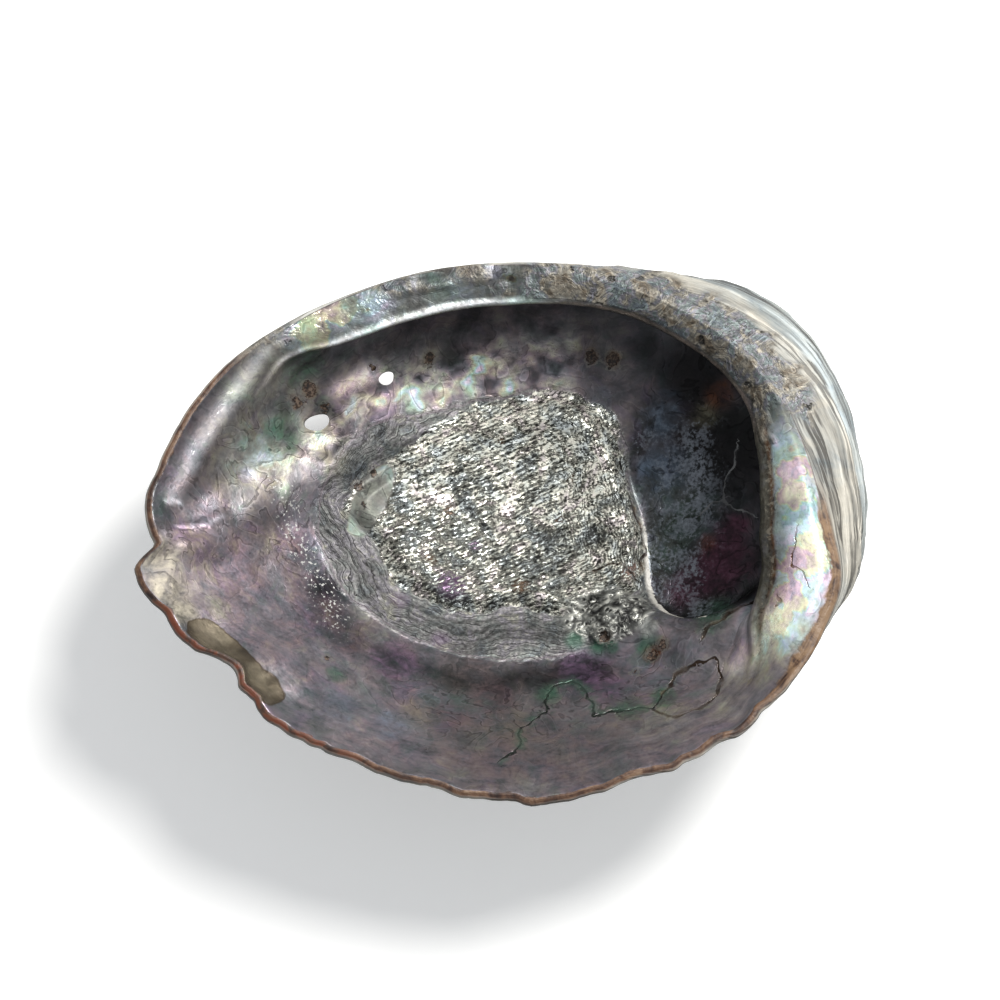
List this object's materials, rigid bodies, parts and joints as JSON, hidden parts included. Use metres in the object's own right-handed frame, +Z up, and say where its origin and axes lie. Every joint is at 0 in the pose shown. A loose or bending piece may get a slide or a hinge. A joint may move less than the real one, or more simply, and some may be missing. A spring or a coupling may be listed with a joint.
{
  "type": "abalone shell",
  "caption": "Ear-shaped abalone shell on its back: a shallow pearly bowl with an inrolled shelf, a rough muscle scar, a deep end chamber and a row of open pores.",
  "frame": {"origin": "centre of the bounding box in plan, at the height of the surface it rests on", "axes": "+X along the length, towards the spire end; +Y towards the shelf side; +Z up, out of the open mouth"},
  "size_m": [0.1998, 0.1574, 0.0577],
  "materials": {
    "nacre": "pearly silver-grey inside, chalky layered grey outside, tan lip"
  },
  "bodies": {
    "root": {"shell": "nacre"}
  },
  "joints": []
}
